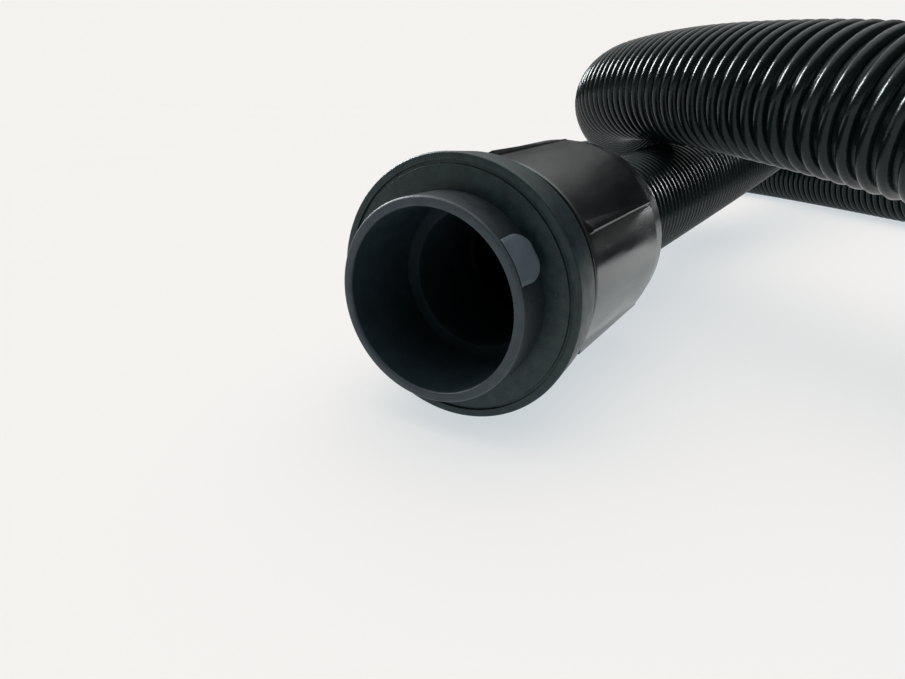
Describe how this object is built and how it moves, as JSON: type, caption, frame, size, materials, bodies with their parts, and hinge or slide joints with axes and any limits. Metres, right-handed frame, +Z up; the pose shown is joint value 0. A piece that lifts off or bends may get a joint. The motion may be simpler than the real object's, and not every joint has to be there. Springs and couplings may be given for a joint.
{
  "type": "vacuum hose",
  "caption": "Flexible corrugated black vacuum hose lying in a loose loop, with a ribbed bayonet swivel cuff at the machine end and a plain swivel cuff at the tool end.",
  "frame": {"origin": "on the floor under the middle of the machine cuff", "axes": "+Z up, +Y along the machine cuff from its mouth towards the hose, +X to the right of a viewer facing +Y"},
  "size_m": [0.7191, 0.7106, 0.1086],
  "materials": {
    "spigot_plastic": "matte",
    "gasket_rubber": "satin",
    "cuff_plastic": "gloss",
    "hose_plastic": "semi-gloss",
    "collar_plastic": "matte",
    "seal_rubber": "matte",
    "washer_plastic": "satin",
    "ring_steel": "brushed"
  },
  "bodies": {
    "hose": {"hose_lead": "hose_plastic", "hose_loop": "hose_plastic", "hose_crossing": "hose_plastic", "hose_return": "hose_plastic", "hose_collar": "collar_plastic", "tool_hose_collar": "collar_plastic"},
    "machine_cuff": {"bayonet_spigot": "spigot_plastic", "face_gasket": "gasket_rubber", "cuff_shell": "cuff_plastic", "swivel_seal": "seal_rubber", "thrust_washer": "washer_plastic", "retaining_ring": "ring_steel"},
    "tool_cuff": {"tool_cuff_shell": "cuff_plastic", "tool_swivel_seal": "seal_rubber", "tool_thrust_washer": "washer_plastic", "tool_retaining_ring": "ring_steel"}
  },
  "joints": [
    {"name": "machine_swivel", "type": "hinge", "parent": "hose", "child": "machine_cuff", "pos_m": [0, 0, 0.034], "axis": [0, 1, 0], "continuous": true},
    {"name": "tool_swivel", "type": "hinge", "parent": "hose", "child": "tool_cuff", "pos_m": [0.372, 0.144, 0.064], "axis": [0.7057, -0.6907, 0.1577], "continuous": true}
  ]
}
